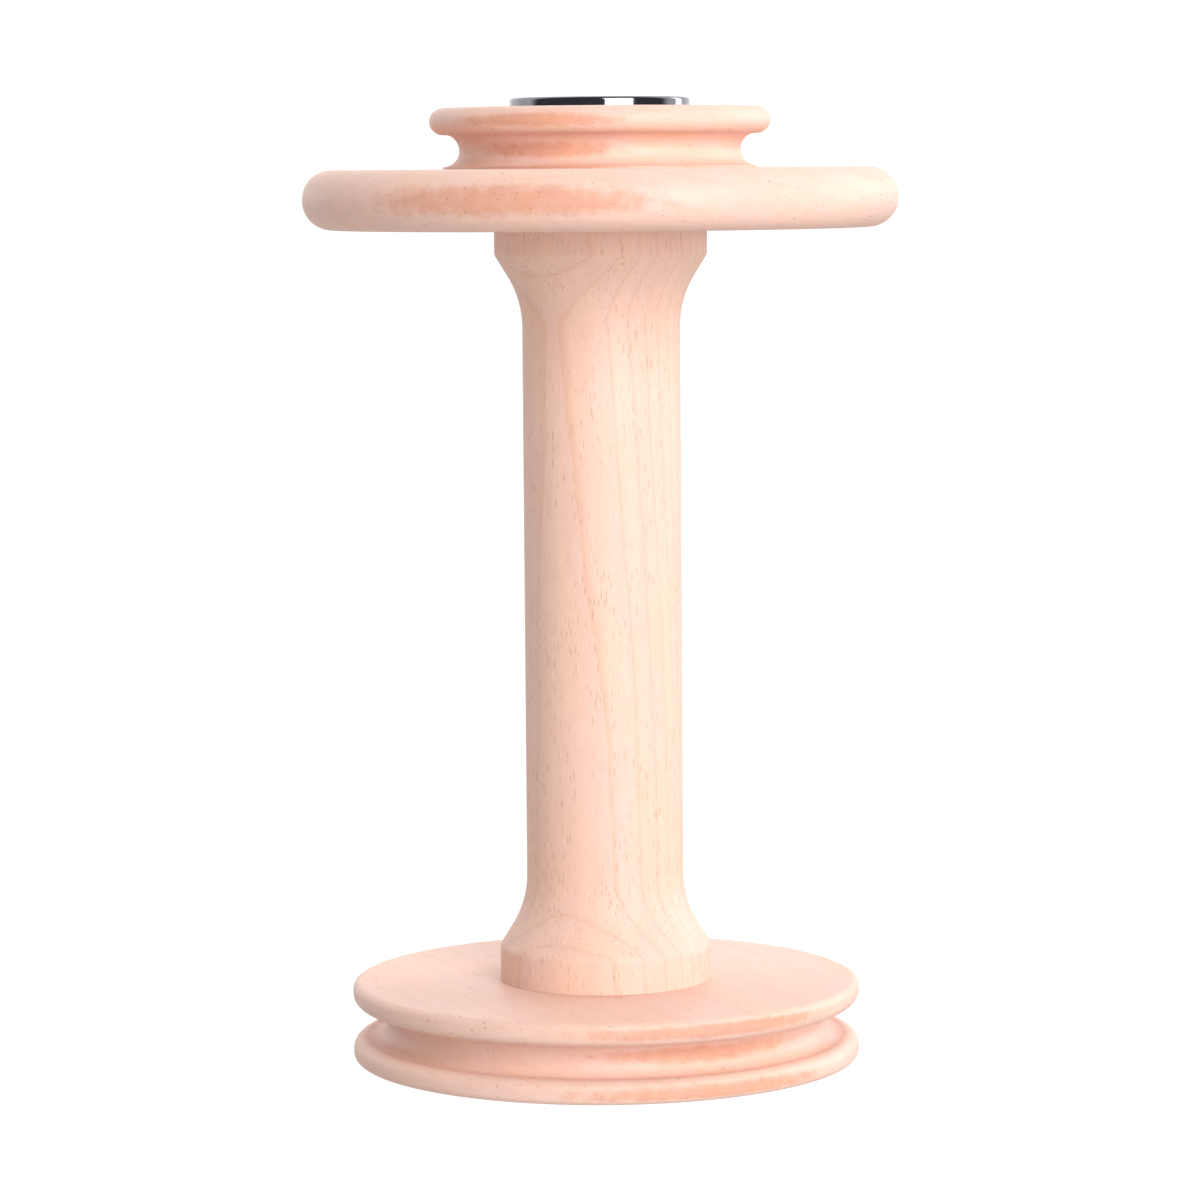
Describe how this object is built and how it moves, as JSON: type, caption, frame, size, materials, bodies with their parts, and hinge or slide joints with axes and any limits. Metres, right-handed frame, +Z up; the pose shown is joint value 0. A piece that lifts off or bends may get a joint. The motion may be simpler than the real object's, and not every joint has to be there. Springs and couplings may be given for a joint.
{
  "type": "spinning wheel bobbin",
  "caption": "Turned wooden yarn bobbin with a plain flange, a small and a large grooved drive whorl, and a sealed ball bearing pressed into each end for a flyer shaft.",
  "frame": {"origin": "on the axis, in the plane of the lower bearing's outer face", "axes": "+Z up along the bobbin's axis, from the large whorl to the small whorl"},
  "size_m": [0.105, 0.105, 0.1724],
  "materials": {
    "core_wood": "fine-turned pale pinkish beech, satin",
    "disc_wood": "fine-turned pale pinkish beech, satin",
    "ring_steel": "polished dark bearing steel",
    "ball_steel": "mirror-polished balls",
    "cage_steel": "pressed strip",
    "seal_rubber": "matt black nitrile"
  },
  "bodies": {
    "bobbin": {"core": "core_wood", "top_flange": "disc_wood", "small_whorl": "disc_wood", "large_whorl": "disc_wood", "top_outer_ring": "ring_steel", "top_seal_outboard": "seal_rubber", "top_seal_inboard": "seal_rubber", "bottom_outer_ring": "ring_steel", "bottom_seal_outboard": "seal_rubber", "bottom_seal_inboard": "seal_rubber"},
    "top_inner_race": {"top_inner_ring": "ring_steel"},
    "top_ball_cage": {"top_balls": "ball_steel", "top_cage_outboard_half": "cage_steel", "top_cage_inboard_half": "cage_steel", "top_cage_rivets": "cage_steel"},
    "bottom_inner_race": {"bottom_inner_ring": "ring_steel"},
    "bottom_ball_cage": {"bottom_balls": "ball_steel", "bottom_cage_outboard_half": "cage_steel", "bottom_cage_inboard_half": "cage_steel", "bottom_cage_rivets": "cage_steel"}
  },
  "joints": [
    {"name": "top_inner_ring_spin", "type": "hinge", "parent": "bobbin", "child": "top_inner_race", "pos_m": [0, 0, 0.1674], "axis": [0, 0, 1], "continuous": true},
    {"name": "top_cage_spin", "type": "hinge", "parent": "bobbin", "child": "top_ball_cage", "pos_m": [0, 0, 0.1674], "axis": [0, 0, 1], "continuous": true},
    {"name": "bottom_inner_ring_spin", "type": "hinge", "parent": "bobbin", "child": "bottom_inner_race", "pos_m": [0, 0, 0.005], "axis": [0, 0, 1], "continuous": true},
    {"name": "bottom_cage_spin", "type": "hinge", "parent": "bobbin", "child": "bottom_ball_cage", "pos_m": [0, 0, 0.005], "axis": [0, 0, 1], "continuous": true}
  ],
  "couplings": [
    {"joint": "top_cage_spin", "follows": "top_inner_ring_spin", "ratio": 0.36471},
    {"joint": "bottom_cage_spin", "follows": "bottom_inner_ring_spin", "ratio": 0.36471}
  ]
}
